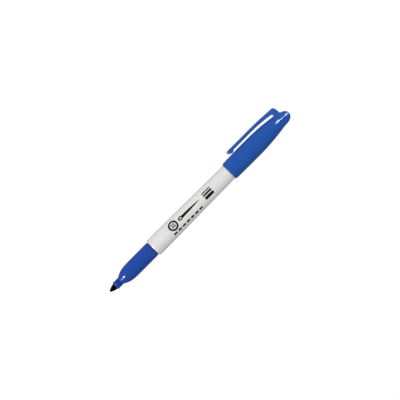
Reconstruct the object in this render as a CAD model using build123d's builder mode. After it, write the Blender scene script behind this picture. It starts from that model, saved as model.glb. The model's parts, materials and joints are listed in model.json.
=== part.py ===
from build123d import *

import os
from math import asin, atan2, cos, degrees, hypot, sin

# A fine-point fabric marking pen, lying down, with its cap posted on the rear end of the barrel.
#
# Frame: +X runs along the pen's axis from the nib to the cap's nose, and x = 0 is the barrel's
# front face, where the grip section comes out. +Z is up. The pen lies as it comes to rest on a
# table: the cap's belly and one edge of the clip touch it, so the clip points to +Y and a little
# down. Sizes are in millimetres. A radius or height is measured from the pen's axis.

# ---- Barrel: a moulded tube with a closed rear end ----
barrel_length = 88.7
barrel_front_radius = 5.61
barrel_land = 12.0  # straight stretch behind the front face
barrel_rear_radius = 4.7
barrel_wall = 1.1
barrel_end_wall = 1.2
barrel_edge = 0.5  # rounding of the front and rear edges
rib_count = 4  # ribs on the closed end that stop the reservoir and leave room for air
rib_thickness = 0.8
rib_inner_radius = 1.4
rib_height = 6.0

# ---- Grip section: snout, shoulder and grip in one moulding, pressed into the barrel ----
grip_step = 0.78  # how far the barrel stands out round the grip
grip_length = 15.0
shoulder_length = 11.1
shoulder_rise_length = 3.6  # the steep part of the shoulder, next to the snout
shoulder_rise_slope = 0.55
shoulder_round_start = 5.4  # from the snout's foot to where the shoulder levels out
snout_length = 4.6
snout_radius = 2.48
snout_chamfer = 0.25
grip_wall = 1.0
tenon_length = 12.0
tenon_lead = 0.4
collar_length = 6.0  # solid ring behind the shoulder that steadies the nib
air_groove_count = 4
air_groove_width = 0.5
air_groove_depth = 0.3

# ---- Nib: a bonded fibre rod with a rounded point ----
nib_radius = 1.95
nib_reach = 4.5  # how far the point stands out of the snout
nib_point_radius = 0.55
nib_flank_start = 0.45  # where the cone bends, as shares of the reach and the radius
nib_flank_height = 0.72
nib_flank_end = 0.85
nib_tail_length = 9.0  # stretch that sits in the ink reservoir
nib_tail_taper = 1.2
nib_tail_end_radius = 1.1

# ---- Ink reservoir: a fibre bundle wrapped in film ----
reservoir_side_room = 0.15  # between the wrapped bundle and the narrowest bore round it
film_thickness = 0.12
reservoir_room = 0.5  # free length between the collar and the reservoir

# ---- Cap and the soft liner that seals the nib ----
cap_wall = 0.77
cap_swell = 0.16  # how much the belly stands out past the mouth
cap_belly_start = 14.0  # from the mouth
cap_nose_length = 10.8  # from the liner's closed end to the tip of the nose
cap_shoulder_length = 28.4  # from the end of the belly to the tip of the nose
cap_dome_radius = 4.15
cap_dome_length = 5.4
cap_belly_hold = 0.42  # shares of the shoulder's length that run on level and along the dome's slope
cap_dome_hold = 0.4
cap_dome_slope = 0.055  # the dome starts at this fall in radius per length of the whole shoulder
dome_side_hold = 0.55  # the nose's side keeps its slope over this share of the dome
dome_side_slope = 0.18
dome_end_hold = 0.68  # the nose's end is flat over this share of the dome's radius
nose_side_height = 4.4  # half width of the nose where its two sloping sides start
nose_flat_start = 8.2  # from the tip of the nose
nose_flat_slope = 0.36
cap_lip = 0.25
cap_lead_in = 0.3
nose_hollow_radius = 2.3
nose_solid = 4.5  # solid length left at the tip of the nose
liner_wall = 1.3
liner_floor = 0.8
liner_tip_room = 1.6  # free length past the nib's point when the pen is capped
liner_start = 1.0  # how far past the snout's foot the liner begins
liner_step = 0.3  # the liner's closed end is this much narrower than its gripping bore

# ---- Clip: moulded in one with the cap, and it bends where it joins ----
clip_gap = 1.1
clip_thickness = 2.05
clip_tip_from_mouth = 6.6
clip_gap_end = 7.7  # distances on the clip's root are from the tip of the nose
clip_gap_end_radius = 0.6
clip_outer_bend = 24.0  # where the outer edge starts to drop
clip_outer_drop = 0.69
clip_inner_bend = 23.5  # where the inner edge starts to drop
clip_inner_drop = 1.3
clip_corner_start = 6.6
clip_corner_end = 4.5
clip_corner_drop = 1.5
clip_corner_ease = 0.22  # how far the outer edge has dropped where the corner turns hardest
clip_corner_lean = 0.2
clip_back_end = 3.5
clip_back_height = 3.3
clip_half_width = 2.0
clip_tip_rounding = 1.2
clip_edge = 0.4  # rounding of the long outer edges
clip_bead_radius = 1.35
clip_bead_from_tip = 3.0
clip_bead_clearance = 0.2
clip_hinge_from_nose = 11.4
clip_hinge_lift = 0.3  # of the bending line above the middle of the clip's end
clip_hinge_radius = 2.5
notch_slope = 0.45
notch_width = 12.0

# ---- Clearances ----
press_gap = 0.02  # pieces that are pressed or glued together
running_gap = 0.05  # pieces that move on each other
post_gap = 0.4  # barrel's rear end to the liner when the cap is posted

# ---- Sizes that follow ----
barrel_taper = (barrel_front_radius - barrel_rear_radius) / (barrel_length - barrel_land)
front_length = grip_length + shoulder_length + snout_length + nib_reach
nib_point = -front_length
snout_front = nib_point + nib_reach
snout_foot = snout_front + snout_length
shoulder_end = snout_foot + shoulder_length
collar_rear = shoulder_end + collar_length

grip_radius = barrel_front_radius - grip_step
bore_radius = barrel_front_radius - barrel_wall
tenon_radius = bore_radius - press_gap
hollow_radius = grip_radius - grip_wall
nib_hole_radius = nib_radius + press_gap

barrel_floor = barrel_length - barrel_end_wall
bore_floor_radius = barrel_rear_radius - barrel_wall + barrel_taper * barrel_end_wall
rib_front = barrel_floor - rib_height

reservoir_front = collar_rear + reservoir_room
reservoir_rear = rib_front - press_gap
film_radius = min(bore_floor_radius, hollow_radius) - reservoir_side_room
film_inner_radius = film_radius - film_thickness
reservoir_radius = film_inner_radius - press_gap
nib_tail = reservoir_front + nib_tail_length

liner_depth = grip_length + shoulder_length + liner_start
liner_end_depth = front_length + liner_tip_room + liner_floor
cap_mouth = barrel_length + post_gap - liner_depth
liner_front = cap_mouth + liner_depth
liner_rear = cap_mouth + liner_end_depth
cap_end = liner_rear + cap_nose_length
posted_radius = barrel_front_radius - barrel_taper * (cap_mouth - barrel_land)
cap_bore_radius = posted_radius + running_gap
cap_mouth_radius = cap_bore_radius + cap_wall
cap_radius = cap_mouth_radius + cap_swell
liner_bore_radius = snout_radius + running_gap
liner_radius = liner_bore_radius + liner_wall
seat_radius = liner_radius + running_gap

clip_inner = cap_radius + clip_gap
clip_outer = clip_inner + clip_thickness
clip_tip = cap_mouth + clip_tip_from_mouth
clip_gap_floor = cap_end - clip_gap_end
hinge_x = cap_end - clip_hinge_from_nose
hinge_height = (clip_inner + clip_outer - clip_inner_drop - clip_outer_drop) / 2 + clip_hinge_lift

# The pen rolls until the rounded edge of the clip reaches the floor that the belly stands on.
edge_reach = clip_outer - clip_edge
edge_side = clip_half_width - clip_edge
roll = asin((cap_radius - clip_edge) / hypot(edge_reach, edge_side)) - atan2(edge_side, edge_reach)

# In clip_side, x runs along the pen and y out from the axis towards the clip.
clip_out = Vector(0, cos(roll), -sin(roll))
clip_across = Vector(0, sin(roll), cos(roll))
clip_side = Plane(origin=(0, 0, 0), x_dir=(1, 0, 0), z_dir=clip_across)
clip_plan = Plane(origin=(0, 0, 0), x_dir=(1, 0, 0), z_dir=clip_out)


# ---- Barrel ----
with BuildPart() as barrel:
    with BuildSketch(Plane.XY):
        with BuildLine():
            Polyline(
                (0, bore_radius),
                (0, barrel_front_radius),
                (barrel_land, barrel_front_radius),
                (barrel_length, barrel_rear_radius),
                (barrel_length, 0),
                (barrel_floor, 0),
                (barrel_floor, bore_floor_radius),
                (tenon_length, bore_radius),
                close=True,
            )
        make_face()
    revolve(axis=Axis.X)
    fillet(barrel.edges().group_by(Axis.X)[0].sort_by(SortBy.RADIUS)[-1], barrel_edge)
    fillet(barrel.edges().group_by(Axis.X)[-1], barrel_edge)
    rib_reach = bore_floor_radius + barrel_wall / 2 - rib_inner_radius
    with BuildSketch(Plane.YZ.offset(rib_front)):
        with PolarLocations(rib_inner_radius + rib_reach / 2, rib_count):
            Rectangle(rib_reach, rib_thickness)
    extrude(amount=rib_height + barrel_end_wall / 2)
barrel.part.label = "barrel"


# ---- Grip section ----
def grip_outline():
    """Outer line of the section from the snout's front edge back to the end of the tenon."""
    Polyline(
        (snout_front, nib_hole_radius),
        (snout_front, snout_radius - snout_chamfer),
        (snout_front + snout_chamfer, snout_radius),
        (snout_foot, snout_radius),
    )
    rise = shoulder_rise_slope * shoulder_rise_length
    Bezier(
        (snout_foot, snout_radius),
        (snout_foot + shoulder_rise_length, snout_radius + rise),
        (snout_foot + shoulder_round_start, grip_radius),
        (shoulder_end, grip_radius),
    )
    Polyline(
        (shoulder_end, grip_radius),
        (0, grip_radius),
        (0, tenon_radius),
        (tenon_length - tenon_lead, tenon_radius),
        (tenon_length, tenon_radius - tenon_lead),
        (tenon_length, hollow_radius),
    )


with BuildPart() as grip_section:
    with BuildSketch(Plane.XY):
        with BuildLine():
            grip_outline()
            Polyline(
                (tenon_length, hollow_radius),
                (collar_rear, hollow_radius),
                (collar_rear, nib_hole_radius),
                (snout_front, nib_hole_radius),
            )
        make_face()
    revolve(axis=Axis.X)
    # Shallow grooves along the nib let air back into the reservoir as ink leaves it.
    groove_length = collar_rear - snout_front - snout_chamfer
    with BuildSketch(Plane.YZ.offset(snout_front + snout_chamfer)):
        with PolarLocations(nib_hole_radius, air_groove_count, start_angle=45):
            Rectangle(2 * air_groove_depth, air_groove_width)
    extrude(amount=groove_length, mode=Mode.SUBTRACT)
grip_section.part.label = "grip_section"


# ---- Nib ----
with BuildPart() as nib:
    with BuildSketch(Plane.XY):
        with BuildLine():
            point_centre = nib_point + nib_point_radius
            Line((nib_tail, 0), (nib_point, 0))
            RadiusArc((nib_point, 0), (point_centre, nib_point_radius), nib_point_radius)
            Bezier(
                (point_centre, nib_point_radius),
                (nib_point + nib_flank_start * nib_reach, nib_flank_height * nib_radius),
                (nib_point + nib_flank_end * nib_reach, nib_radius),
                (snout_front, nib_radius),
            )
            Polyline(
                (snout_front, nib_radius),
                (nib_tail - nib_tail_taper, nib_radius),
                (nib_tail, nib_tail_end_radius),
                (nib_tail, 0),
            )
        make_face()
    revolve(axis=Axis.X)
nib.part.label = "nib"


# ---- Ink reservoir ----
with BuildPart() as reservoir_core:
    with BuildSketch(Plane.YZ.offset(reservoir_front)):
        Circle(reservoir_radius)
    extrude(amount=reservoir_rear - reservoir_front)
    with BuildSketch(Plane.YZ.offset(reservoir_front)):
        Circle(nib_hole_radius)
    extrude(amount=nib_tail_length + press_gap, mode=Mode.SUBTRACT)
reservoir_core.part.label = "reservoir_core"

with BuildPart() as reservoir_film:
    with BuildSketch(Plane.YZ.offset(reservoir_front)):
        Circle(film_radius)
        Circle(film_inner_radius, mode=Mode.SUBTRACT)
    extrude(amount=reservoir_rear - reservoir_front)
reservoir_film.part.label = "reservoir_film"


# ---- Cap ----
def clip_outline():
    """Side view of the clip and its root as one piece, from the nose round to the gap's end."""
    outer_end_height = clip_outer - clip_outer_drop
    inner_end_height = clip_inner - clip_inner_drop
    outer_bend = cap_end - clip_outer_bend
    inner_bend = cap_end - clip_inner_bend
    corner_start = cap_end - clip_corner_start
    corner_end = cap_end - clip_corner_end
    back_end = cap_end - clip_back_end
    Line((clip_tip, clip_inner), (clip_tip, clip_outer))
    Line((clip_tip, clip_outer), (outer_bend, clip_outer))
    Bezier(
        (outer_bend, clip_outer),
        ((outer_bend + corner_start) / 2, clip_outer),
        (corner_start, outer_end_height),
    )
    Bezier(
        (corner_start, outer_end_height),
        (corner_end, outer_end_height - clip_corner_ease),
        (corner_end + clip_corner_lean, outer_end_height - clip_corner_drop),
    )
    Polyline(
        (corner_end + clip_corner_lean, outer_end_height - clip_corner_drop),
        (back_end, clip_back_height),
        (back_end, nose_hollow_radius / 2),
        (clip_gap_floor, nose_hollow_radius / 2),
        (clip_gap_floor, inner_end_height - clip_gap_end_radius),
    )
    RadiusArc(
        (clip_gap_floor, inner_end_height - clip_gap_end_radius),
        (clip_gap_floor - clip_gap_end_radius, inner_end_height),
        -clip_gap_end_radius,
    )
    Bezier(
        (clip_gap_floor - clip_gap_end_radius, inner_end_height),
        ((inner_bend + clip_gap_floor) / 2, clip_inner),
        (inner_bend, clip_inner),
    )
    Line((inner_bend, clip_inner), (clip_tip, clip_inner))


def clip_plan_outline():
    """The clip seen from outside: a straight strip with a rounded tip."""
    FilletPolyline(
        (cap_end, clip_half_width),
        (clip_tip, clip_half_width),
        (clip_tip, -clip_half_width),
        (cap_end, -clip_half_width),
        radius=clip_tip_rounding,
    )
    Line((cap_end, -clip_half_width), (cap_end, clip_half_width))


def outward_edges(solid):
    """The long edges of the clip's flat outer face, and the edges round its tip."""
    face = solid.faces().filter_by(GeomType.PLANE).sort_by(Axis((0, 0, 0), clip_out))[-1]
    return face.edges().sort_by(Axis.X)[:-1]


with BuildPart() as cap_shell:
    with BuildSketch(Plane.XY):
        with BuildLine():
            belly_start = cap_mouth + cap_belly_start
            belly_end = cap_end - cap_shoulder_length
            dome = cap_end - cap_dome_length
            shoulder = dome - belly_end
            side_reach = dome_side_hold * cap_dome_length
            Line((cap_end, 0), (cap_mouth, 0))
            Line((cap_mouth, 0), (cap_mouth, cap_mouth_radius))
            Bezier(
                (cap_mouth, cap_mouth_radius),
                ((cap_mouth + belly_start) / 2, cap_radius),
                (belly_start, cap_radius),
            )
            Line((belly_start, cap_radius), (belly_end, cap_radius))
            Bezier(
                (belly_end, cap_radius),
                (belly_end + cap_belly_hold * shoulder, cap_radius),
                (dome - cap_dome_hold * shoulder, cap_dome_radius + cap_dome_slope * shoulder),
                (dome, cap_dome_radius),
            )
            Bezier(
                (dome, cap_dome_radius),
                (dome + side_reach, cap_dome_radius - dome_side_slope * side_reach),
                (cap_end, dome_end_hold * cap_dome_radius),
                (cap_end, 0),
            )
        make_face()
    revolve(axis=Axis.X)
    # A sloping notch parts the nose from the clip's root.
    with BuildSketch(clip_side):
        with BuildLine():
            notch_start = cap_end - clip_back_end
            notch_fall = notch_slope * (clip_back_end + 1)
            Polyline(
                (notch_start, clip_back_height),
                (cap_end + 1, clip_back_height - notch_fall),
                (cap_end + 1, clip_outer),
                (notch_start, clip_outer),
                close=True,
            )
        make_face()
    extrude(amount=notch_width / 2, both=True, mode=Mode.SUBTRACT)
    # Seen from the clip's side the nose is a wedge: two sloping sides cut it down to its tip.
    with BuildSketch(clip_plan):
        with BuildLine():
            flat_start = cap_end - nose_flat_start
            flat_fall = nose_flat_slope * (nose_flat_start + 1)
            Polyline(
                (flat_start, nose_side_height),
                (cap_end + 1, nose_side_height - flat_fall),
                (cap_end + 1, cap_radius),
                (flat_start, cap_radius),
                close=True,
            )
        make_face()
        mirror(about=Plane.XZ)
    extrude(amount=2 * cap_radius, both=True, mode=Mode.SUBTRACT)
    # The clip's root stands on the shell, and ends at a round face about the bending line.
    with BuildPart(mode=Mode.PRIVATE) as root:
        with BuildSketch(clip_side):
            with BuildLine():
                clip_outline()
            make_face()
            with Locations((hinge_x, hinge_height)):
                Circle(clip_hinge_radius + running_gap, mode=Mode.SUBTRACT)
            with Locations((hinge_x, hinge_height)):
                Rectangle(
                    2 * (hinge_x - clip_tip),
                    4 * clip_outer,
                    align=(Align.MAX, Align.CENTER),
                    mode=Mode.SUBTRACT,
                )
        extrude(amount=2 * clip_half_width, both=True)
        with BuildSketch(clip_plan):
            with BuildLine():
                clip_plan_outline()
            make_face()
        extrude(amount=2 * clip_outer, mode=Mode.INTERSECT)
    add(root.part)
    # Inside: the barrel's tapered bore, the liner's seat and a hollow in the nose.
    with BuildSketch(Plane.XY):
        with BuildLine():
            bore_fall = barrel_taper * liner_depth
            Polyline(
                (cap_mouth, 0),
                (cap_mouth, cap_bore_radius + cap_lead_in),
                (cap_mouth + cap_lead_in, cap_bore_radius),
                (liner_front, cap_bore_radius - bore_fall),
                (liner_front, seat_radius),
                (liner_rear + running_gap, seat_radius),
                (liner_rear + running_gap, nose_hollow_radius),
                (cap_end - nose_solid - nose_hollow_radius / 2, nose_hollow_radius),
                (cap_end - nose_solid, nose_hollow_radius / 2),
                (cap_end - nose_solid, 0),
                close=True,
            )
        make_face()
    revolve(axis=Axis.X, mode=Mode.SUBTRACT)
    fillet(cap_shell.edges().group_by(Axis.X)[0].sort_by(SortBy.RADIUS)[-1], cap_lip)
cap_shell.part.label = "cap_shell"


# ---- Liner ----
with BuildPart() as cap_liner:
    with BuildSketch(Plane.XY):
        with BuildLine():
            grip_end = liner_front + snout_length
            inner_end = liner_rear - liner_floor
            Polyline(
                (liner_front, liner_bore_radius + cap_lead_in),
                (liner_front, liner_radius - cap_lead_in),
                (liner_front + cap_lead_in, liner_radius),
                (liner_rear, liner_radius),
                (liner_rear, 0),
                (inner_end, 0),
                (inner_end, liner_bore_radius - liner_step),
                (grip_end, liner_bore_radius - liner_step),
                (grip_end, liner_bore_radius),
                (liner_front + cap_lead_in, liner_bore_radius),
                close=True,
            )
        make_face()
    revolve(axis=Axis.X)
cap_liner.part.label = "cap_liner"


# ---- Clip ----
with BuildPart() as clip:
    with BuildSketch(clip_side):
        with BuildLine():
            clip_outline()
        make_face()
        # A small bead under the tip holds the edge of a pocket or a page.
        with Locations((clip_tip + clip_bead_from_tip, cap_radius + clip_bead_clearance + clip_bead_radius)):
            Circle(clip_bead_radius)
        with Locations((hinge_x, hinge_height)):
            Rectangle(
                4 * clip_hinge_from_nose,
                4 * clip_outer,
                align=(Align.MIN, Align.CENTER),
                mode=Mode.SUBTRACT,
            )
        with BuildSketch(clip_side, mode=Mode.PRIVATE) as round_end:
            with BuildLine():
                clip_outline()
            make_face()
            with Locations((hinge_x, hinge_height)):
                Circle(clip_hinge_radius, mode=Mode.INTERSECT)
        add(round_end.sketch_local)
    extrude(amount=2 * clip_half_width, both=True)
    with BuildSketch(clip_plan):
        with BuildLine():
            clip_plan_outline()
        make_face()
    extrude(amount=2 * clip_outer, mode=Mode.INTERSECT)
    fillet(outward_edges(clip), clip_edge)
clip.part.label = "clip"


# ---- Files: one for each piece ----
os.makedirs("parts", exist_ok=True)
pieces = [barrel, grip_section, nib, reservoir_core, reservoir_film, cap_shell, cap_liner, clip]
for piece in pieces:
    export_step(piece.part, f"parts/{piece.part.label}.step")

print(f"clip lies {degrees(roll):.4f} degrees below the horizontal")
print(f"clip points along (0, {clip_out.Y:.6f}, {clip_out.Z:.6f})")
print(f"clip's bending line runs along (0, {clip_across.Y:.6f}, {clip_across.Z:.6f})")
print(f"bending point at x {hinge_x:.3f}, height {hinge_height:.3f}")
print(f"overall length {cap_end - nib_point:.2f}, cap length {cap_end - cap_mouth:.2f}")
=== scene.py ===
import json
import math

import bpy
import numpy as np
from mathutils import Matrix, Vector


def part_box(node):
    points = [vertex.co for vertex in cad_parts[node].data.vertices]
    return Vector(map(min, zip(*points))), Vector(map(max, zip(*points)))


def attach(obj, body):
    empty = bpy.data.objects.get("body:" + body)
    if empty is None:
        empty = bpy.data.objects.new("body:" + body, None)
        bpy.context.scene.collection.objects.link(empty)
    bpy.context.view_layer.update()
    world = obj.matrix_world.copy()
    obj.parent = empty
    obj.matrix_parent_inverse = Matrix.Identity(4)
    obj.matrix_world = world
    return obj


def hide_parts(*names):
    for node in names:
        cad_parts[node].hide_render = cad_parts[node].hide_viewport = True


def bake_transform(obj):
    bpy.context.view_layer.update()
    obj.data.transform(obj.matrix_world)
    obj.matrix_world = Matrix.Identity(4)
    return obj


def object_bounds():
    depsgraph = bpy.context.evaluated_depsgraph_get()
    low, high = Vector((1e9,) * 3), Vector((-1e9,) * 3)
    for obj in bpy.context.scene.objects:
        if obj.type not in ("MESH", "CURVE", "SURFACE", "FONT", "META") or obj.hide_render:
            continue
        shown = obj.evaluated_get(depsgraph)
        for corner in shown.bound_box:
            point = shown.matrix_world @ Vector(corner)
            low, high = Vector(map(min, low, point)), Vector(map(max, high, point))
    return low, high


# Looks of a fine-point fabric marking pen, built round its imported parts.
#
# Shapes are worked out in millimetres and turned into metres when a mesh is made. The pen's axis
# is X, from the nib to the nose of the cap. "height" is a distance out from the axis towards the
# clip, and "side" is a distance across, square to both. A profile is a list of points (x, radius).
# The two middle points of a curve are its handles, which it leans towards without meeting them.

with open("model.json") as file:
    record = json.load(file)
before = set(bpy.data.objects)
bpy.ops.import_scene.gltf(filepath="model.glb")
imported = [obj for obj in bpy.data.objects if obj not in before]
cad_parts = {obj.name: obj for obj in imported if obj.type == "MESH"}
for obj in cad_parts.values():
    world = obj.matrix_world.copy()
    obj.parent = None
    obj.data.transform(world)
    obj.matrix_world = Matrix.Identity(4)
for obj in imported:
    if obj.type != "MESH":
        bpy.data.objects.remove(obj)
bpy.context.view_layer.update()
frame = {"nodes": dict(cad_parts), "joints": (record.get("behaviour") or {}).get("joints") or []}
MM = 0.001
TINY = 1e-6


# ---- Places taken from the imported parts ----

def extent(node):
    """A node's first and last x and its radius, in millimetres. The radius is half its height."""
    low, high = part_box(node)
    return low.x / MM, high.x / MM, (high.z - low.z) / 2 / MM


barrel_front, barrel_rear, barrel_radius = extent("barrel")
snout_front, tenon_rear, grip_radius = extent("grip_section")
nib_point, nib_tail, nib_radius = extent("nib")
cap_mouth, cap_end, cap_radius = extent("cap_shell")
clip_tip, _, _ = extent("clip")

flex = next(joint for joint in frame["joints"] if joint["name"] == "clip_flex")
ALONG = np.array([1.0, 0.0, 0.0])
ACROSS = -np.array(flex["axis"])
OUTWARD = np.cross(ACROSS, ALONG)

# ---- Sizes of the mouldings, in millimetres ----
LAND_LENGTH = 12.0
LAND_BLEND = 6.0
REAR_RADIUS = 4.70
REAR_EDGE = 0.5
BORE_RADIUS = 4.51
END_WALL = 1.2
BARREL_TAPER = (barrel_radius - REAR_RADIUS) / (barrel_rear - LAND_LENGTH)

SNOUT_LENGTH = 4.6
SNOUT_RADIUS = 2.48
SNOUT_WAIST = 0.09
SHOULDER_LENGTH = 11.1
PRESS_GAP = 0.02

CAP_WALL = 0.77
CAP_SWELL = 0.16
CAP_LIP = 0.5
LINER_DEPTH = 27.1
SEAT_RADIUS = 3.88
SEAT_END = 37.65
NOSE_SOLID = 4.5
HOLLOW_RADIUS = 2.3

CLIP_GAP = 1.1
CLIP_THICKNESS = 2.05
CLIP_HALF_WIDTH = 2.0
CLIP_EDGE = 0.42
CLIP_CROWN = 0.14
CLIP_TIP_ROUND = 1.2
CLIP_TIP_EDGE = 0.5
CLIP_TIP_STEPS = 60
BEAD_FROM_TIP = 2.8
BEAD_DEPTH = 0.92
BEAD_FRONT = 2.6
BEAD_BACK = 1.75


# ---- Making meshes ----

def arc(centre, radius, start, end, count):
    """Round stretch of a profile: centre + radius (cos a, sin a), with a from start to end in degrees."""
    a = np.radians(np.linspace(start, end, count))
    return np.stack([centre[0] + radius * np.cos(a), centre[1] + radius * np.sin(a)], axis=1)


def curve(p0, p1, p2, p3, count):
    """Cubic stretch of a profile: (1-t)^3 p0 + 3 (1-t)^2 t p1 + 3 (1-t) t^2 p2 + t^3 p3."""
    t = np.linspace(0, 1, count)[:, None]
    s = 1 - t
    p0, p1, p2, p3 = np.array([p0, p1, p2, p3], float)
    return s**3 * p0 + 3 * s**2 * t * p1 + 3 * s * t**2 * p2 + t**3 * p3


def run(start, end, count=2):
    """Straight stretch of a profile: start + t (end - start), with t from 0 to 1."""
    t = np.linspace(0, 1, count)[:, None]
    return np.array(start) * (1 - t) + np.array(end) * t


def joined(*stretches):
    """Stretches of a profile laid end to end, with a point that repeats the last one left out."""
    points = np.concatenate([np.asarray(s, float) for s in stretches])
    step = np.linalg.norm(np.diff(points, axis=0), axis=1)
    return points[np.concatenate([[True], step > TINY])]


def smooth(value, low, high):
    """0 below low, 1 above high, and 3t^2 - 2t^3 between."""
    t = np.clip((value - low) / (high - low), 0, 1)
    return t * t * (3 - 2 * t)


def skin(rings, closed=False):
    """Points and faces over a grid of rings, each ring joined to the next and round to its own start.

    A ring drawn in to one point becomes a pole. With closed the last ring joins the first. The
    signed volume, the sum of a . (b x c) / 6 over the triangles, says whether to turn the faces.
    """
    rows, columns, _ = rings.shape
    index = np.arange(rows * columns).reshape(rows, columns)
    pole = np.ptp(rings, axis=1).max(axis=1) < TINY
    index[pole] = index[pole][:, :1]
    if closed:
        index = np.concatenate([index, index[:1]])
    ahead = np.roll(index, -1, axis=1)
    quads = np.stack([index[:-1], ahead[:-1], ahead[1:], index[1:]], axis=-1).reshape(-1, 4)
    first_pole = quads[:, 0] == quads[:, 1]
    last_pole = quads[:, 2] == quads[:, 3]
    whole = quads[~first_pole & ~last_pole]
    fans = np.concatenate([quads[first_pole][:, [0, 2, 3]], quads[last_pole][:, [0, 1, 2]]])
    points = rings.reshape(-1, 3) * MM
    used, place = np.unique(np.concatenate([whole.ravel(), fans.ravel()]), return_inverse=True)
    points = points[used]
    whole = place[: whole.size].reshape(-1, 4)
    fans = place[whole.size:].reshape(-1, 3)
    triangles = np.concatenate([whole[:, [0, 1, 2]], whole[:, [0, 2, 3]], fans])
    a, b, c = points[triangles].transpose(1, 0, 2)
    if np.einsum("ij,ij->i", a, np.cross(b, c)).sum() < 0:
        whole, fans = whole[:, ::-1], fans[:, ::-1]
    return points, whole, fans


def poled(rings):
    """The rings with a pole before the first and after the last, each at its ring's middle."""
    poles = np.repeat(rings[[0, -1]].mean(axis=1, keepdims=True), rings.shape[1], axis=1)
    return np.concatenate([poles[:1], rings, poles[1:]])


def piece(name, body, skins, sharp_angle=50, node=None):
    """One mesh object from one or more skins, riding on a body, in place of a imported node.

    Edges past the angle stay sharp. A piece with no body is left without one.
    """
    starts = np.cumsum([0] + [len(points) for points, _, _ in skins[:-1]])
    points = np.concatenate([points for points, _, _ in skins])
    faces = []
    for start, (_, whole, fans) in zip(starts, skins):
        faces += (whole + start).tolist() + (fans + start).tolist()
    mesh = bpy.data.meshes.new(name)
    mesh.from_pydata(points.tolist(), [], faces)
    mesh.polygons.foreach_set("use_smooth", np.ones(len(mesh.polygons), bool))
    mesh.update()
    mesh.set_sharp_from_angle(angle=math.radians(sharp_angle))
    made = bpy.data.objects.new(name, mesh)
    bpy.context.scene.collection.objects.link(made)
    if body:
        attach(made, body)
    if node:
        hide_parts(node)
    return made


def angles(columns, warp=0.0):
    """Angles round the axis, f = a - warp sin a, which crowd towards the clip's side."""
    a = np.linspace(0, 2 * np.pi, columns, endpoint=False)
    return a - warp * np.sin(a)


def turned_rings(profile, columns=256, warp=0.0):
    """Rings of a turned shape: each profile point (x, r) becomes x, r cos f outward, r sin f across."""
    f = angles(columns, warp)
    x, r = profile[:, 0, None, None], profile[:, 1, None, None]
    rim = np.cos(f)[None, :, None] * OUTWARD + np.sin(f)[None, :, None] * ACROSS
    return x * ALONG + r * rim


# ---- Barrel ----

def barrel_surface(x):
    """Outside radius of the barrel at x, behind its front edge: a straight land, then a cone."""
    return barrel_radius - BARREL_TAPER * np.clip(np.asarray(x, float) - LAND_LENGTH, 0, None)


def barrel_profile():
    """Closed-end tube: bevelled front edge, straight land, cone, dimpled rear end, cone-shaped bore."""
    slope = math.degrees(math.atan(BARREL_TAPER))
    dish, dimple, dimple_radius = 0.15, 0.3, 1.6
    bevel, bevel_drop, front_edge = 1.3, 0.24, 0.2
    near, far = LAND_LENGTH - LAND_BLEND, LAND_LENGTH + LAND_BLEND
    floor, floor_radius = barrel_rear - END_WALL, REAR_RADIUS - 1.1
    return joined(
        [(barrel_rear - dimple, 0)],
        curve(
            (barrel_rear - dimple, 0),
            (barrel_rear - dimple, 0.6),
            (barrel_rear, 0.8),
            (barrel_rear, dimple_radius),
            10,
        ),
        arc((barrel_rear - REAR_EDGE, REAR_RADIUS - REAR_EDGE), REAR_EDGE, 0, 90 - slope, 12),
        curve(
            (far, barrel_surface(far)),
            (LAND_LENGTH + 2, barrel_surface(LAND_LENGTH + 2)),
            (LAND_LENGTH - 2, barrel_radius),
            (near, barrel_radius),
            12,
        ),
        curve(
            (barrel_front + bevel, barrel_radius),
            (barrel_front + 0.8, barrel_radius),
            (barrel_front + 0.6, barrel_radius - 0.05),
            (barrel_front + 0.15, barrel_radius - bevel_drop),
            12,
        ),
        arc((barrel_front + front_edge, barrel_radius - bevel_drop - 0.18), front_edge, 105, 180, 8),
        arc((barrel_front + dish, BORE_RADIUS + dish), dish, 180, 270, 5),
        run((tenon_rear, BORE_RADIUS), (floor, floor_radius)),
        [(floor, 0)],
    )


barrel = piece(
    "barrel_tube",
    "pen",
    [skin(turned_rings(barrel_profile()))],
    node="barrel",
)


# ---- Grip section ----

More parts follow.
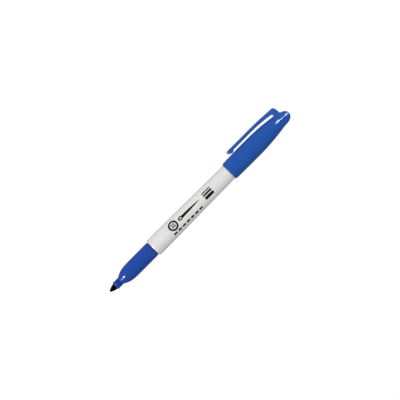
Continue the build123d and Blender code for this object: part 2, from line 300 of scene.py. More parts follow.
def section_profile():
    """Bead, snout, concave foot, bulging shoulder, grip, groove, tenon, hollow and nib hole."""
    foot = snout_front + SNOUT_LENGTH
    end = foot + SHOULDER_LENGTH
    tenon = BORE_RADIUS - PRESS_GAP
    hole = nib_radius + PRESS_GAP
    waist = SNOUT_RADIUS - SNOUT_WAIST
    hole_edge, lip = 0.1, 0.2
    bead_end = snout_front + 0.75
    crease, rise = (foot - 0.5, waist), (foot + 0.05, waist + 0.2)
    groove_front, groove_back = barrel_front - 0.65, barrel_front - 0.2
    groove_floor, groove_edge = grip_radius - 0.38, 0.1
    collar_end, chamfer = barrel_front + 0.4, 0.4
    hollow_end, hollow_radius = end + 6.0, grip_radius - 1.0
    return joined(
        arc((snout_front + hole_edge, hole + hole_edge), hole_edge, 270, 180, 5),
        arc((snout_front + lip, SNOUT_RADIUS - lip), lip, 180, 90, 9),
        curve(
            (bead_end, SNOUT_RADIUS),
            (bead_end + 0.2, SNOUT_RADIUS),
            (bead_end + 0.1, waist),
            (bead_end + 0.4, waist),
            10,
        ),
        run((foot - 1.2, waist), crease, 3),
        curve(crease, (foot - 0.12, waist), (foot - 0.1, waist + 0.06), rise, 12),
        curve(
            rise,
            (foot + 3.4, SNOUT_RADIUS + 2.02),
            (foot + 5.4, grip_radius),
            (end, grip_radius),
            56,
        ),
        run((end, grip_radius), (groove_front - groove_edge, grip_radius), 4),
        arc((groove_front - groove_edge, grip_radius - groove_edge), groove_edge, 90, 0, 5),
        run((groove_front, groove_floor), (groove_back, groove_floor)),
        run((groove_back, grip_radius), (collar_end, grip_radius)),
        run((collar_end, tenon), (collar_end + 0.1, tenon)),
        run((tenon_rear - chamfer, tenon), (tenon_rear, tenon - chamfer)),
        run((tenon_rear, hollow_radius), (hollow_end, hollow_radius)),
        run((hollow_end, hole), (snout_front + hole_edge, hole)),
    )


section = piece(
    "grip_section_moulding",
    "pen",
    [skin(turned_rings(section_profile()[:-1]), closed=True)],
    sharp_angle=40,
    node="grip_section",
)


# ---- Nib ----

def nib_profile():
    """Rounded point, bulging cone and straight rod with a short tapered tail."""
    point = 0.62
    point_end = (nib_point + point - 0.29, 0.547)
    tail, tail_radius = 1.2, 1.1
    reach = snout_front - nib_point
    return joined(
        arc((nib_point + point, 0), point, 180, 118, 10),
        curve(
            point_end,
            (nib_point + 0.38 * reach, 0.74 * nib_radius),
            (nib_point + 0.78 * reach, 0.93 * nib_radius),
            (snout_front + 0.35, nib_radius),
            40,
        ),
        run((nib_tail - tail, nib_radius), (nib_tail, tail_radius)),
        [(nib_tail, 0)],
    )


nib = piece("nib_rod", "pen", [skin(turned_rings(nib_profile(), columns=160))], node="nib")


# ---- Cap ----

NOSE_SLOPE = 0.37
NOSE_SIDES = cap_end - 10.6
NOSE_HALF_WIDTH = 4.82
NOSE_LEAST_HALF_WIDTH = 0.4
NOSE_SQUARE = 14.0
NOSE_SHIFT = 0.42
NOSE_SHIFT_SPAN = (cap_end - 8.0, cap_end - 2.5)
RIDGE_SHARE = 0.55
RIDGE_ROUND = 0.16
RIDGE_START = (cap_end - 7.4, cap_end - 6.0)
RIDGE_END = (cap_end - 2.9, cap_end - 1.6)
ROOT_FRONT = cap_end - 7.7
ROOT_BACK = cap_end - 3.7
ROOT_FILLET = 0.5
ROOT_SIDE = (0.4, 0.75)
CAP_COLUMNS = 320
CAP_WARP = 0.45


def cap_outside():
    """Profile of the cap from its mouth to its tip: lip, lead-in, swelling, belly, shoulder, dome."""
    mouth_radius = cap_radius - CAP_SWELL
    lip, lip_start = 0.12, mouth_radius - 0.62 * CAP_LIP
    lead_in = (cap_mouth + 4.5 * CAP_LIP, mouth_radius + 0.02)
    belly, shoulder = cap_mouth + 14.0, cap_end - 28.4
    dome, dome_radius = cap_end - 5.1, 3.95
    return joined(
        arc((cap_mouth + lip, lip_start - lip), lip, 180, 115, 8),
        curve(
            (cap_mouth + lip, lip_start),
            (cap_mouth + lip + CAP_LIP, lip_start + 0.43 * CAP_LIP),
            (cap_mouth + 2.2 * CAP_LIP, mouth_radius),
            lead_in,
            18,
        ),
        curve(
            lead_in,
            (cap_mouth + 5, mouth_radius + 0.09),
            (belly - 4, cap_radius),
            (belly, cap_radius),
            24,
        ),
        run((belly, cap_radius), (shoulder, cap_radius), 8),
        curve(
            (shoulder, cap_radius),
            (shoulder + 9.5, cap_radius),
            (dome - 6.8, 5.0),
            (dome, dome_radius),
            170,
        ),
        curve((dome, dome_radius), (dome + 2.0, 3.64), (cap_end, 2.75), (cap_end, 0), 80),
    )


def cap_inside():
    """Profile of the cap's inside from the hollow in its nose out to the mouth."""
    bore = cap_radius - CAP_SWELL - CAP_WALL
    fall = LINER_DEPTH * BARREL_TAPER
    hollow_end = cap_end - NOSE_SOLID
    lead_in = 0.28
    return joined(
        run((hollow_end, 0), (hollow_end, HOLLOW_RADIUS / 2)),
        run((hollow_end - HOLLOW_RADIUS / 2, HOLLOW_RADIUS), (cap_mouth + SEAT_END, HOLLOW_RADIUS)),
        run((cap_mouth + SEAT_END, SEAT_RADIUS), (cap_mouth + LINER_DEPTH, SEAT_RADIUS)),
        run((cap_mouth + LINER_DEPTH, bore - fall), (cap_mouth + lead_in, bore)),
        run((cap_mouth + lead_in, bore), (cap_mouth + 0.02, bore + lead_in - 0.1), 3),
    )


def nose_rings(profile, columns, warp):
    """Rings of the cap's outside. Each has half heights a and b, a centre and a ridge share m.

    The outline is height = centre + a u with u = cos f, and side = b sqrt(1 - (1 - m) u^2 - m v).
    v is |u| with its corner rounded by e: (sqrt(u^2 + e^2) - e) / (sqrt(1 + e^2) - e), so where m
    is high the nose's two sloping sides meet in a soft ridge. m grows at the ridge's start and fades
    at its end. a is the profile's radius. b follows it too, but the sloping sides hold it down:
    b = (a^-n + s^-n)^(-1/n), with s falling in a straight line. Towards the tip the centre moves
    away from the clip. Round the clip's root the height rises by the fillet
    R - sqrt(R^2 - (R - d)^2), at a distance d from the root.
    """
    x, a = profile[:, 0, None], profile[:, 1, None]
    f = angles(columns, warp)[None, :]
    sloping = np.maximum(NOSE_HALF_WIDTH - NOSE_SLOPE * (x - NOSE_SIDES), NOSE_LEAST_HALF_WIDTH)
    held = (np.maximum(a, TINY) ** -NOSE_SQUARE + sloping**-NOSE_SQUARE) ** (-1 / NOSE_SQUARE)
    b = np.where(a > TINY, held, 0)
    u = np.cos(f)
    e = RIDGE_ROUND
    v = (np.sqrt(u**2 + e**2) - e) / (math.sqrt(1 + e**2) - e)
    m = RIDGE_SHARE * smooth(x, *RIDGE_START) * (1 - smooth(x, *RIDGE_END))
    side = b * np.sqrt(np.clip(1 - (1 - m) * u**2 - m * v, 0, 1)) * np.sign(np.sin(f))
    centre = -NOSE_SHIFT * smooth(x, *NOSE_SHIFT_SPAN)
    height = centre + a * u
    outside_x = np.maximum(np.maximum(ROOT_FRONT - x, x - ROOT_BACK), 0)
    outside_side = np.maximum(np.abs(side) - CLIP_HALF_WIDTH, 0)
    away = np.clip(np.hypot(outside_x, outside_side), 0, ROOT_FILLET)
    rise = ROOT_FILLET - np.sqrt(np.clip(ROOT_FILLET**2 - (ROOT_FILLET - away) ** 2, 0, None))
    height = height + rise * smooth(u, *ROOT_SIDE)
    return x[..., None] * ALONG + height[..., None] * OUTWARD + side[..., None] * ACROSS


cap_rings = np.concatenate([
    turned_rings(cap_inside(), CAP_COLUMNS, CAP_WARP),
    nose_rings(cap_outside(), CAP_COLUMNS, CAP_WARP),
])
cap = piece("cap_moulding", "cap", [skin(cap_rings)], node="cap_shell")


# ---- Clip ----

def clip_edges():
    """The clip's inner and outer edge in side view, point for point, from its tip to its root.

    The finger's edges run level and then drop along a parabola. A bead hangs under the tip, deep
    (cos t)^2 and longer in front of its middle than behind it. The corner fans round from the small
    inner arc to the large outer one, and the leg goes down into the nose.
    """
    inner, outer = cap_radius + CLIP_GAP, cap_radius + CLIP_GAP + CLIP_THICKNESS
    inner_drop, outer_drop = 1.3, 0.62
    fillet, corner = 0.38, 1.95
    tip_end = clip_tip + 6
    finger_end = ROOT_FRONT - fillet
    bend_inner, bend_outer = cap_end - 23.5, cap_end - 24.0
    x = np.concatenate([
        np.linspace(clip_tip, tip_end, CLIP_TIP_STEPS),
        np.linspace(tip_end + 0.3, finger_end, 64),
    ])
    inner_bend = np.clip((x - bend_inner) / (finger_end - bend_inner), 0, None)
    outer_bend = np.clip((x - bend_outer) / (finger_end - bend_outer), 0, None)
    inner_height = inner - inner_drop * inner_bend**2
    outer_height = outer - outer_drop * outer_bend**2
    from_bead = x - (clip_tip + BEAD_FROM_TIP)
    bead = np.clip(from_bead / np.where(from_bead < 0, BEAD_FRONT, BEAD_BACK), -1, 1)
    inner_height = inner_height - BEAD_DEPTH * np.cos(bead * np.pi / 2) ** 2
    finger = np.stack([np.stack([x, inner_height], 1), np.stack([x, outer_height], 1)], 1)
    turn = 30
    low, high = inner_height[-1] - fillet, outer_height[-1]
    top = high - 0.08
    inner_corner = arc((finger_end, low), fillet, 90, 0, turn)
    centre = (cap_end - 6.0, top - corner)
    outer_corner = joined(
        curve(
            (finger_end, high),
            (finger_end + 0.6, high - 0.04),
            (centre[0] - 0.5, top),
            (centre[0], top),
            turn // 3,
        ),
        arc(centre, corner, 90, 14, turn - turn // 3 + 1)[1:],
    )
    fan = np.stack([inner_corner, outer_corner], 1)
    foot = 2.4
    start = outer_corner[-1]
    back = curve(start, start + np.array([0.2, -0.8]), (ROOT_BACK, 5.4), (ROOT_BACK, foot), turn)
    front = run((ROOT_FRONT, low), (ROOT_FRONT, foot), turn)
    leg = np.stack([front, back], 1)
    return np.concatenate([finger, fan[1:], leg[1:]])


def clip_rings(columns=80):
    """Rounded-rectangle rings carried along the clip.

    A ring spans from the inner to the outer edge, half thickness h, and across, half width w. Its
    corners are arcs of radius q: thick = sign(cos f) (h - q) + q cos f, side = sign(sin f) (w - q)
    + q sin f. The outer face falls by crown (side / w)^2 towards its edges. At the tip, h and w
    draw in by R (1 - sqrt(1 - (1 - d / R)^2)), d from the end, which rounds the end both ways.
    """
    edges = clip_edges()
    inner, outer = edges[:, 0], edges[:, 1]
    middle, half = (inner + outer) / 2, (outer - inner) / 2
    thick = np.linalg.norm(half, axis=1)
    direction = half / thick[:, None]
    from_tip = middle[:, 0] - clip_tip
    from_tip = np.where(np.arange(len(edges)) < CLIP_TIP_STEPS, from_tip, CLIP_TIP_ROUND)
    plan = np.clip(1 - from_tip / CLIP_TIP_ROUND, 0, 1)
    end = np.clip(1 - from_tip / CLIP_TIP_EDGE, 0, 1)
    width = CLIP_HALF_WIDTH - CLIP_TIP_ROUND * (1 - np.sqrt(1 - plan**2))
    thick = thick - CLIP_TIP_EDGE * (1 - np.sqrt(1 - end**2))
    corner = np.minimum(CLIP_EDGE, 0.95 * np.minimum(thick, width))
    f = np.concatenate([np.linspace(s + 0.5, s + 89.5, columns // 4) for s in (0, 90, 180, 270)])
    f = np.radians(f)[None, :]
    h, w, q = thick[:, None], width[:, None], corner[:, None]
    side = np.sign(np.sin(f)) * (w - q) + q * np.sin(f)
    up = np.sign(np.cos(f)) * (h - q) + q * np.cos(f)
    up = up - CLIP_CROWN * (side / w) ** 2 * smooth(np.cos(f), 0.0, 0.7)
    place = middle[:, None, :] + up[..., None] * direction[:, None, :]
    return poled(place[..., :1] * ALONG + place[..., 1:] * OUTWARD + side[..., None] * ACROSS)


clip = piece("clip_moulding", None, [skin(clip_rings())], sharp_angle=60, node="clip")
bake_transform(clip)


# ---- Print on the barrel: sewing signs in black ink, with no lettering ----

INK_LIFT = 0.025
INK_SINK = 0.05


def ink_ribbon(left, right, closed=False, steps=6):
    """Ink between two edges, given point for point as x and v, the distance round the barrel.

    A ring goes over the top from left to right at r + lift and back underneath at r - sink. Each
    point wraps round the barrel by the angle v / r: x along, r cos (v/r) across, r sin (v/r) outward.
    """
    t = np.linspace(0, 1, steps)[None, :, None]
    top = np.asarray(left)[:, None, :] * (1 - t) + np.asarray(right)[:, None, :] * t
    flat = np.concatenate([top, top[:, ::-1]], axis=1)
    lift = np.concatenate([np.full(steps, INK_LIFT), np.full(steps, -INK_SINK)])[None, :]
    radius = barrel_surface(flat[..., 0])
    angle = flat[..., 1] / radius
    out = radius + lift
    rings = (
        flat[..., :1] * ALONG
        + (out * np.cos(angle))[..., None] * ACROSS
        + (out * np.sin(angle))[..., None] * OUTWARD
    )
    return skin(rings, closed=True) if closed else skin(poled(rings))


def ink_ring(centre, outer, inner, count=48):
    """A flat ring: the same angles on an outer and an inner circle."""
    rims = [arc(centre, radius, 0, 360, count + 1)[:-1] for radius in (outer, inner)]
    return ink_ribbon(*rims, closed=True)


def ink_path(path, half_width):
    """A band along a path: path + and - half width times the path's normal, (-dy, dx) / length."""
    way = np.gradient(path, axis=0)
    normal = np.stack([-way[:, 1], way[:, 0]], 1) / np.linalg.norm(way, axis=1)[:, None]
    width = np.asarray(half_width, float).reshape(-1, 1)
    return ink_ribbon(path + width * normal, path - width * normal)


def button_marks(centre, radius):
    """A four-hole button: a wide rim, and four small rings for the holes."""
    rim, spread, hole_radius, hole_middle = 1.1, 0.98, 0.55, 0.03
    marks = [ink_ring(centre, radius, radius - rim)]
    for turn in np.radians([45, 135, 225, 315]):
        hole = (centre[0] + spread * np.cos(turn), centre[1] + spread * np.sin(turn))
        marks.append(ink_ring(hole, hole_radius, hole_middle, 20))
    return marks


def needle_marks(eye, point, height):
    """A needle lying along the barrel: a long eye, then a shaft that narrows as (1 - t^2)."""
    t = np.linspace(0, 1, 30)
    shaft_start, thick, thin = eye + 2.5, 0.72, 0.1
    shaft = np.stack([shaft_start + (point - shaft_start) * t, np.full(30, height)], 1)
    turn = np.linspace(0, 2 * np.pi, 40, endpoint=False)
    middle = eye + 1.65
    outer, inner = (
        np.stack([middle - half_length * np.cos(turn), height + half_width * np.sin(turn)], 1)
        for half_length, half_width in ((1.65, 1.22), (0.9, 0.4))
    )
    return [ink_ribbon(outer, inner, closed=True), ink_path(shaft, thick * (1 - t**2) + thin)]


def stitch_marks(start, end, height, pitch, length, half_width):
    """A row of running stitches: equal dashes, one pitch apart."""
    firsts = np.arange(start, end - length + TINY, pitch)
    return [ink_path(run((x, height), (x + length, height), 8), half_width) for x in firsts]


def width_marks(start, length, rows):
    """Bars from a thin line to a thick one, as a key to line widths. A row is (v, half width)."""
    return [ink_path(run((start, v), (start + length, v), 12), half) for v, half in rows]


print_skins = (
    button_marks(centre=(17.3, 0.95), radius=3.15)
    + needle_marks(eye=21.6, point=38.4, height=1.0)
    + stitch_marks(start=14.2, end=38.4, height=-3.55, pitch=3.4, length=2.4, half_width=0.62)
    + width_marks(start=41.4, length=6.4, rows=((2.05, 0.34), (0.55, 0.55), (-1.5, 0.9)))
)
barrel_print = piece("barrel_print", "pen", print_skins)


# ---- Shader node groups ----

def group(name, inputs, outputs):
    """A node group with its named sockets, given as name: (kind, value) and name: kind."""
    tree = bpy.data.node_groups.new(name, "ShaderNodeTree")
    for label, (kind, value) in inputs.items():
        tree.interface.new_socket(name=label, in_out="INPUT", socket_type=kind).default_value = value
    for label, kind in outputs.items():
        tree.interface.new_socket(name=label, in_out="OUTPUT", socket_type=kind)
    return tree, tree.nodes.new("NodeGroupInput").outputs, tree.nodes.new("NodeGroupOutput").inputs


def feed(tree, socket, value):
    """Give an input its value: a link from another node's output, or a number or colour."""
    if isinstance(value, bpy.types.NodeSocket):
        tree.links.new(value, socket)
    else:
        socket.default_value = value


def node(tree, kind, settings=None, **values):
    """A new node: settings are its properties, and values go to inputs, each a link or a number."""
    made = tree.nodes.new(kind)
    for key, value in (settings or {}).items():
        setattr(made, key, value)
    for key, value in values.items():
        feed(tree, made.inputs[key.replace("_", " ")], value)
    return made


def sum_of(tree, operation, *values):
    """Output of a Math node over up to three links or numbers."""
    made = node(tree, "ShaderNodeMath", {"operation": operation})
    for socket, value in zip(made.inputs, values):
        feed(tree, socket, value)
    return made.outputs["Value"]


def blend_of(tree, share, a, b):
    """Output of a colour mix: a where share is 0, b where it is 1."""
    return node(tree, "ShaderNodeMix", {"data_type": "RGBA"}, Factor=share, A=a, B=b).outputs["Result"]


def blend_value(tree, share, a, b):
    """Number from a to b: a + share (b - a)."""
    return sum_of(tree, "MULTIPLY_ADD", share, sum_of(tree, "SUBTRACT", b, a), a)


def stepped(tree, value, low, high):
    """Output of a smooth step: 0 below low, 1 above high."""
    return node(
        tree,
        "ShaderNodeMapRange",
        {"interpolation_type": "SMOOTHSTEP"},
        Value=value,
        From_Min=low,
        From_Max=high,
    ).outputs["Result"]


def object_place(tree):
    """Where a point is on its piece, in metres."""
    return node(tree, "ShaderNodeTexCoord").outputs["Object"]


def noise(tree, place, scale, detail=3.0, rough=0.5, warp=0.0):
    """Output of a noise pattern whose marks are about 1 / scale metres across."""
    return node(
        tree,
        "ShaderNodeTexNoise",
        None,
        Vector=place,
        Scale=scale,
        Detail=detail,
        Roughness=rough,
        Distortion=warp,
    ).outputs["Fac"]


def stretched(tree, place, length, turn=(0, 0, 0)):
    """Place turned, then drawn out along its own X: a pattern's marks get length times as long."""
    return node(
        tree,
        "ShaderNodeMapping",
        {"vector_type": "TEXTURE"},
        Vector=place,
        Scale=(length, 1, 1),
        Rotation=turn,
    ).outputs["Vector"]


def mould_skin_group():
    """Moulded plastic: slow clouds in the colour, flow streaks along the part, and a fine grain."""
    tree, given, out = group(
        "mould_skin",
        {
            "Colour": ("NodeSocketColor", (0.5, 0.5, 0.5, 1)),
            "Shade": ("NodeSocketColor", (0.4, 0.4, 0.4, 1)),
            "Roughness": ("NodeSocketFloat", 0.3),
            "Roughness Spread": ("NodeSocketFloat", 0.1),
            "Grain Scale": ("NodeSocketFloat", 5000.0),
        },
        {"Colour": "NodeSocketColor", "Roughness": "NodeSocketFloat", "Height": "NodeSocketFloat"},
    )
    flow_stretch, flow_share, flow_height, grain_share = 12.5, 0.35, 0.5, 0.5
    place = object_place(tree)
    cloud = noise(tree, place, scale=170.0, detail=5.0, rough=0.55)
    flow = noise(tree, stretched(tree, place, flow_stretch), scale=900.0)
    grain = noise(tree, place, given["Grain Scale"], detail=2.0)
    mottle = stepped(tree, blend_value(tree, flow_share, cloud, flow), 0.3, 0.7)
    swing = sum_of(tree, "SUBTRACT", blend_value(tree, grain_share, cloud, grain), 0.5)
    rough = sum_of(tree, "MULTIPLY_ADD", swing, given["Roughness Spread"], given["Roughness"])
    feed(tree, out["Colour"], blend_of(tree, mottle, given["Colour"], given["Shade"]))
    feed(tree, out["Roughness"], rough)
    feed(tree, out["Height"], sum_of(tree, "MULTIPLY_ADD", flow, flow_height, grain))
    return tree


def handling_group():
    """Marks of use: hairline scratches at a few slants, and dull patches from fingers."""
    tree, given, out = group(
        "handling",
        {
            "Scratch Scale": ("NodeSocketFloat", 2600.0),
            "Scratch Share": ("NodeSocketFloat", 0.5),
            "Smudge Scale": ("NodeSocketFloat", 220.0),
        },
        {"Scratches": "NodeSocketFloat", "Smudges": "NodeSocketFloat"},
    )
    rarest, reach, softness, stretch = 0.76, 0.1, 0.03, 30
    slants = ((0.3, 0.2, 0.12), (1.1, -0.35, 0.3), (0.5, 0.6, 1.25))
    place = object_place(tree)
    low = sum_of(tree, "SUBTRACT", rarest, sum_of(tree, "MULTIPLY", given["Scratch Share"], reach))
    high = sum_of(tree, "ADD", low, softness)
    lines = 0.0
    for turn in slants:
        hair = noise(tree, stretched(tree, place, stretch, turn), given["Scratch Scale"], detail=1.0)
        lines = sum_of(tree, "MAXIMUM", lines, stepped(tree, hair, low, high))
    smudge = noise(tree, place, given["Smudge Scale"], detail=4.0, warp=0.6)
    feed(tree, out["Scratches"], lines)
    feed(tree, out["Smudges"], stepped(tree, smudge, 0.5, 0.72))
    return tree


def edge_rub_group():
    """Rubbed edges: high where the surface bulges sharply, broken up by a noise."""
    tree, given, out = group(
        "edge_rub",
        {
            "Low": ("NodeSocketFloat", 0.52),
            "High": ("NodeSocketFloat", 0.6),
            "Break Up": ("NodeSocketFloat", 1500.0),
        },
        {"Mask": "NodeSocketFloat"},
    )
    bulge = node(tree, "ShaderNodeNewGeometry").outputs["Pointiness"]
    worn = stepped(tree, bulge, given["Low"], given["High"])
    broken = stepped(tree, noise(tree, object_place(tree), given["Break Up"], detail=4.0), 0.35, 0.65)
    feed(tree, out["Mask"], sum_of(tree, "MULTIPLY", worn, broken))
    return tree


def dust_group():
    """Sparse specks of lint and dust: small cells of a Voronoi pattern, kept where a noise is high."""
    tree, given, out = group(
        "dust",
        {"Speck Scale": ("NodeSocketFloat", 900.0), "Speck Size": ("NodeSocketFloat", 0.12)},
        {"Mask": "NodeSocketFloat"},
    )
    place = object_place(tree)
    cells = node(tree, "ShaderNodeTexVoronoi", None, Vector=place, Scale=given["Speck Scale"])
    core = sum_of(tree, "MULTIPLY", given["Speck Size"], 0.5)
    outside = stepped(tree, cells.outputs["Distance"], core, given["Speck Size"])
    speck = sum_of(tree, "SUBTRACT", 1.0, outside)
    here = stepped(tree, noise(tree, place, scale=320.0, detail=2.0), 0.59, 0.67)
    feed(tree, out["Mask"], sum_of(tree, "MULTIPLY", speck, here))
    return tree


def fibre_group():
    """Bonded fibres along X: long fine strands, coarser bundles, and pits between them. The colour
    follows the height, as painted shade in the pits and low places and painted light on the raised
    strands.
    """
    tree, given, out = group(
        "fibre_bundle",
        {
            "Colour": ("NodeSocketColor", (0.5, 0.5, 0.5, 1)),
            "Shade": ("NodeSocketColor", (0.2, 0.2, 0.2, 1)),
            "Strand Scale": ("NodeSocketFloat", 9000.0),
        },
        {"Colour": "NodeSocketColor", "Roughness": "NodeSocketFloat", "Height": "NodeSocketFloat"},
    )
    strand_stretch, bundle_stretch, bundle_share, pit_depth = 14, 6.7, 0.4, 0.3
    least_rough, rough_spread = 0.6, 0.3
    place = object_place(tree)
    along = stretched(tree, place, strand_stretch)
    strands = noise(tree, along, given["Strand Scale"], detail=2.0, warp=0.2)
    bundles = noise(tree, stretched(tree, place, bundle_stretch), scale=2200.0)
    pits = stepped(tree, noise(tree, place, scale=5200.0, detail=2.0), 0.6, 0.7)
    height = blend_value(tree, bundle_share, strands, bundles)
    height = sum_of(tree, "SUBTRACT", height, sum_of(tree, "MULTIPLY", pits, pit_depth))
    # Painted shade and light: the colour goes to Shade in the pits and low places and to Colour on the
    # raised strands.
    painted_light_and_shade = stepped(tree, height, 0.3, 0.65)
    feed(tree, out["Colour"], blend_of(tree, painted_light_and_shade, given["Shade"], given["Colour"]))
    feed(tree, out["Roughness"], sum_of(tree, "MULTIPLY_ADD", strands, rough_spread, least_rough))
    feed(tree, out["Height"], height)
    return tree


MOULD_SKIN = mould_skin_group()
HANDLING = handling_group()
EDGE_RUB = edge_rub_group()
DUST = dust_group()
FIBRE = fibre_group()


# ---- Materials ----

def principled(tree):
    """The Principled shader of a material's tree."""
    return next(item for item in tree.nodes if item.type == "BSDF_PRINCIPLED")


def material(name):
    """A new material with its node tree and its Principled shader."""
    made = bpy.data.materials.new(name)
    made.use_nodes = True
    return made, made.node_tree, principled(made.node_tree)


def grouped(tree, effect, **values):
    """A shared effect placed in a material, with its own values."""
    return node(tree, "ShaderNodeGroup", {"node_tree": effect}, **values).outputs


def cover(made, item):
    """Give a piece its one material."""
    item.data.materials.clear()
    item.data.materials.append(made)


def bump(tree, shader, height, depth):
    """Bump the surface by a height pattern of the given depth in metres."""
    made = node(tree, "ShaderNodeBump", None, Height=height, Distance=depth, Strength=1.0)
    feed(tree, shader.inputs["Normal"], made.outputs["Normal"])


EDGE_WEAR, SCRATCH_WEAR, WORN_DULLNESS = 0.35, 0.22, 0.3
SMUDGE_DULLNESS = 0.04
DUST_COLOUR = (0.6, 0.6, 0.6, 1)
DUST_SHOW, DUST_DULLNESS, DUST_HEIGHT = 0.15, 0.25, 1.2
SCRATCH_HEIGHT = -1.2


def moulded_plastic(name, colour, shade, rub, rough, spread, grain, depth):
    """Moulded plastic with flow clouds and grain, scratches, smudges, rubbed edges and dust."""
    made, tree, shader = material(name)
    moulding = grouped(
        tree,
        MOULD_SKIN,
        Colour=(*colour, 1),
        Shade=(*shade, 1),
        Roughness=rough,
        Roughness_Spread=spread,
        Grain_Scale=grain,
    )
    use = grouped(tree, HANDLING)
    specks = grouped(tree, DUST)["Mask"]
    rubbed = sum_of(tree, "MULTIPLY", grouped(tree, EDGE_RUB)["Mask"], EDGE_WEAR)
    worn = sum_of(tree, "MAXIMUM", rubbed, sum_of(tree, "MULTIPLY", use["Scratches"], SCRATCH_WEAR))
    tint = blend_of(tree, worn, moulding["Colour"], (*rub, 1))
    tint = blend_of(tree, sum_of(tree, "MULTIPLY", specks, DUST_SHOW), tint, DUST_COLOUR)
    dull = sum_of(tree, "MULTIPLY_ADD", use["Smudges"], SMUDGE_DULLNESS, moulding["Roughness"])
    dull = sum_of(tree, "MULTIPLY_ADD", worn, WORN_DULLNESS, dull)
    dull = sum_of(tree, "MULTIPLY_ADD", specks, DUST_DULLNESS, dull)
    height = sum_of(tree, "MULTIPLY_ADD", use["Scratches"], SCRATCH_HEIGHT, moulding["Height"])
    height = sum_of(tree, "MULTIPLY_ADD", specks, DUST_HEIGHT, height)
    feed(tree, shader.inputs["Base Color"], tint)
    feed(tree, shader.inputs["Roughness"], dull)
    bump(tree, shader, height, depth)
    return made


def along_band(tree, x, start, end, edge):
    """1 between two places along the pen, in millimetres, fading over the edge on either side."""
    rising = stepped(tree, x, (start - edge) * MM, (start + edge) * MM)
    falling = stepped(tree, x, (end - edge) * MM, (end + edge) * MM)
    return sum_of(tree, "SUBTRACT", rising, falling)


# Places for the section's painted shading: a patchy darker snout, painted shade in the crease at its foot
# and a painted highlight on its front bead.
SNOUT_DARK_START = snout_front + 1.0
BEAD_END = snout_front + 0.7
CREASE = snout_front + SNOUT_LENGTH - 1.35
DARK_FADE, BEAD_FADE = 0.25, 0.15
BEAD_HIGHLIGHT = 0.5


def paint_section_shade_and_highlight(made, snout_dark_crease_shade, bead):
    """Darken the snout in patches, paint shade into the crease at its foot, and paint a highlight on its
    front bead.

    The darkening is patchy along the snout and full in the crease.
    """
    tree = made.node_tree
    shader = principled(tree)
    place = object_place(tree)
    x = node(tree, "ShaderNodeSeparateXYZ", None, Vector=place).outputs["X"]
    patchy = sum_of(tree, "MULTIPLY_ADD", noise(tree, place, scale=700.0), 0.5, 0.35)
    snout = sum_of(tree, "MULTIPLY", along_band(tree, x, SNOUT_DARK_START, CREASE + 0.5, DARK_FADE), patchy)
    # Painted shade: the crease at the snout's foot is darkened with the same dark colour as the snout.
    crease = along_band(tree, x, CREASE - 0.3, CREASE + 0.35, DARK_FADE)
    # Painted highlight: the front bead is lightened with the bead colour.
    front = along_band(tree, x, snout_front - 1.0, BEAD_END, BEAD_FADE)
    colour = shader.inputs["Base Color"].links[0].from_socket
    colour = blend_of(tree, sum_of(tree, "MAXIMUM", snout, crease), colour, (*snout_dark_crease_shade, 1))
    colour = blend_of(tree, sum_of(tree, "MULTIPLY", front, BEAD_HIGHLIGHT), colour, (*bead, 1))
    feed(tree, shader.inputs["Base Color"], colour)


def felt(name, colour, shade, strand, depth):
    """Bonded fibre soaked with ink: dull, with strands along the rod."""
    made, tree, shader = material(name)
    # The fibre group paints shade into the pits and low places between the strands.
    fibres = grouped(tree, FIBRE, Colour=(*colour, 1), Shade=(*shade, 1), Strand_Scale=strand)
    feed(tree, shader.inputs["Base Color"], fibres["Colour"])
    feed(tree, shader.inputs["Roughness"], fibres["Roughness"])
    shader.inputs["Specular IOR Level"].default_value = 0.03
    bump(tree, shader, fibres["Height"], depth)
    return made


def printed_ink(name):
    """Black pad-print ink: slightly thin in clouds, with pinholes where the barrel shows through."""
    made, tree, shader = material(name)
    moulding = grouped(
        tree,
        MOULD_SKIN,
        Colour=(0.0035, 0.0035, 0.004, 1),
        Shade=(0.007, 0.007, 0.0075, 1),
        Roughness=0.42,
        Roughness_Spread=0.2,
        Grain_Scale=7000.0,
    )
    pinholes = grouped(tree, DUST, Speck_Scale=2600.0, Speck_Size=0.16)["Mask"]
    colour = blend_of(tree, pinholes, moulding["Colour"], (0.3, 0.3, 0.3, 1))
    feed(tree, shader.inputs["Base Color"], colour)
    feed(tree, shader.inputs["Roughness"], moulding["Roughness"])
    shader.inputs["Specular IOR Level"].default_value = 0.25
    bump(tree, shader, moulding["Height"], depth=0.000004)
    return made


barrel_plastic = moulded_plastic(
    "barrel_plastic",
    colour=(0.733, 0.733, 0.726),
    shade=(0.712, 0.713, 0.71),
    rub=(0.6, 0.6, 0.59),
    rough=0.32,
    spread=0.1,
    grain=4200.0,
    depth=0.000002,
)
section_plastic = moulded_plastic(
    "section_plastic",
    colour=(0.0150, 0.0670, 0.360),
    shade=(0.0140, 0.0620, 0.340),
    rub=(0.05, 0.14, 0.44),
    rough=0.15,
    spread=0.06,
    grain=5200.0,
    depth=0.0000012,
)
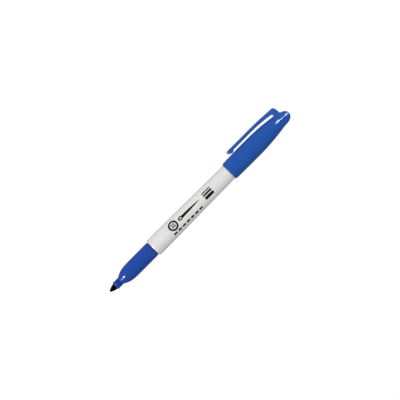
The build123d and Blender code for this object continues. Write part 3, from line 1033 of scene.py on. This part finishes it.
# The section gets a patchy darker snout, painted shade in the crease at its foot and a painted highlight
# on its front bead.
paint_section_shade_and_highlight(section_plastic, snout_dark_crease_shade=(0.0008, 0.032, 0.24), bead=(0.05, 0.15, 0.52))
cap_plastic = moulded_plastic(
    "cap_plastic",
    colour=(0.0165, 0.0910, 0.396),
    shade=(0.0155, 0.0845, 0.374),
    rub=(0.06, 0.17, 0.48),
    rough=0.13,
    spread=0.06,
    grain=5200.0,
    depth=0.0000012,
)
clip_plastic = moulded_plastic(
    "clip_plastic",
    colour=(0.0162, 0.0875, 0.388),
    shade=(0.0152, 0.0815, 0.368),
    rub=(0.06, 0.17, 0.48),
    rough=0.34,
    spread=0.06,
    grain=5200.0,
    depth=0.0000012,
)
liner_plastic = moulded_plastic(
    "liner_plastic",
    colour=(0.012, 0.085, 0.36),
    shade=(0.010, 0.078, 0.34),
    rub=(0.06, 0.16, 0.46),
    rough=0.45,
    spread=0.1,
    grain=2600.0,
    depth=0.000006,
)
film_plastic = moulded_plastic(
    "film_plastic",
    colour=(0.74, 0.76, 0.79),
    shade=(0.68, 0.70, 0.74),
    rub=(0.6, 0.6, 0.62),
    rough=0.12,
    spread=0.06,
    grain=900.0,
    depth=0.00001,
)
nib_felt = felt(
    "nib_felt",
    colour=(0.0026, 0.0030, 0.0038),
    shade=(0.0008, 0.0010, 0.0014),
    strand=9000.0,
    depth=0.00003,
)
reservoir_felt = felt(
    "reservoir_felt",
    colour=(0.03, 0.07, 0.30),
    shade=(0.012, 0.03, 0.16),
    strand=5200.0,
    depth=0.00004,
)

cover(barrel_plastic, barrel)
cover(section_plastic, section)
cover(cap_plastic, cap)
cover(clip_plastic, clip)
cover(nib_felt, nib)
cover(printed_ink("print_ink"), barrel_print)
cover(liner_plastic, frame["nodes"]["cap_liner"])
cover(film_plastic, frame["nodes"]["reservoir_film"])
cover(reservoir_felt, frame["nodes"]["reservoir_core"])


# ---- Studio ----

PEN_MIDDLE = (nib_point + cap_end) / 2 * MM * ALONG
LIGHT_DISTANCE = 0.9


def camera():
    """Long lens square to the plane of the pen's axis and clip, with the nib at the lower left."""
    tilt = math.radians(45.2)
    field, distance, sensor = 230.2 * MM, 1.9, 36.0
    aim_right, aim_up = 0.46 * MM, 1.04 * MM
    up = math.sin(tilt) * ALONG + math.cos(tilt) * OUTWARD
    right = math.cos(tilt) * ALONG - math.sin(tilt) * OUTWARD
    data = bpy.data.cameras.new("camera")
    data.lens = sensor * distance / field
    data.sensor_width = sensor
    data.clip_start, data.clip_end = 0.05, 20
    made = bpy.data.objects.new("camera", data)
    turn = Matrix((right, up, ACROSS)).transposed().to_4x4()
    centre = PEN_MIDDLE + aim_right * right + aim_up * up
    made.matrix_world = Matrix.Translation(centre + distance * ACROSS) @ turn
    bpy.context.scene.collection.objects.link(made)
    bpy.context.scene.camera = made


def softbox(name, direction, size, power, glossy=True, diffuse=True):
    """A flat light facing the pen. Its direction is given along, outward and across.

    With glossy off it casts light without showing in a gloss, and with diffuse off it only shows.
    """
    data = bpy.data.lights.new(name, "AREA")
    data.shape = "ELLIPSE"
    data.size, data.size_y = size
    data.energy = power
    made = bpy.data.objects.new(name, data)
    back = direction[0] * ALONG + direction[1] * OUTWARD + direction[2] * ACROSS
    back = back / np.linalg.norm(back)
    side = np.cross(OUTWARD, back)
    side = side / np.linalg.norm(side)
    turn = Matrix((side, np.cross(back, side), back)).transposed().to_4x4()
    made.matrix_world = Matrix.Translation(PEN_MIDDLE + LIGHT_DISTANCE * back) @ turn
    made.visible_camera = False
    made.visible_glossy = glossy
    made.visible_diffuse = diffuse
    bpy.context.scene.collection.objects.link(made)


FLOOR_GLOW = 0.42
FLOOR_SHINE = 0.09
WORLD_GLOW = 0.24
WORLD_SHINE = 0.09
BACKDROP_WHITE = 0.96


def split_light(tree, glow, shine):
    """Brightness of a backdrop: white to the camera, shine in a gloss, glow for all other light."""
    path = node(tree, "ShaderNodeLightPath").outputs
    unseen = blend_value(tree, path["Is Glossy Ray"], glow, shine)
    return blend_value(tree, path["Is Camera Ray"], unseen, BACKDROP_WHITE)


def studio_floor():
    """A wide white light table under the pen, which looks brighter than the light it gives."""
    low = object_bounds()[0].z
    half = 4.0
    corners = [(-half, -half, low), (half, -half, low), (half, half, low), (-half, half, low)]
    mesh = bpy.data.meshes.new("floor")
    mesh.from_pydata(corners, [], [(0, 1, 2, 3)])
    floor = bpy.data.objects.new("floor", mesh)
    bpy.context.scene.collection.objects.link(floor)
    made, tree, shader = material("floor_paper")
    shader.inputs["Base Color"].default_value = (0.05, 0.05, 0.05, 1)
    shader.inputs["Roughness"].default_value = 0.9
    shader.inputs["Emission Color"].default_value = (1, 1, 1, 1)
    feed(tree, shader.inputs["Emission Strength"], split_light(tree, FLOOR_GLOW, FLOOR_SHINE))
    cover(made, floor)


def studio_world():
    """Even dim white light from all round."""
    world = bpy.data.worlds.new("studio")
    world.use_nodes = True
    tree = world.node_tree
    background = tree.nodes["Background"]
    background.inputs["Color"].default_value = (1, 1, 1, 1)
    feed(tree, background.inputs["Strength"], split_light(tree, WORLD_GLOW, WORLD_SHINE))
    bpy.context.scene.world = world
    bpy.context.scene.view_settings.view_transform = "Standard"


def toward(degrees_along, degrees_outward=0.0):
    """Direction that leans from straight across towards the cap, then turns to the clip's side."""
    lean, turn = math.radians(degrees_along), math.radians(degrees_outward)
    return math.sin(lean), math.cos(lean) * math.sin(turn), math.cos(lean) * math.cos(turn)


camera()
studio_floor()
studio_world()
softbox("nib_side_softbox", toward(-46, 9), (0.12, 0.24), 2.6)
softbox("nib_side_lamp", toward(-61, 9), (0.08, 0.2), 1.15)
softbox("nib_side_sparkle", toward(-48, 9), (0.16, 0.27), 2.6, diffuse=False)
softbox("nose_side_softbox", toward(41, 14), (0.22, 0.3), 3.35)
softbox("clip_side_fill_left", toward(-48, 62), (0.5, 0.2), 2.5, glossy=False)
softbox("clip_side_fill_right", toward(48, 62), (0.5, 0.2), 2.5, glossy=False)
softbox("belly_side_fill", toward(0, -62), (0.5, 0.2), 1.7, glossy=False)
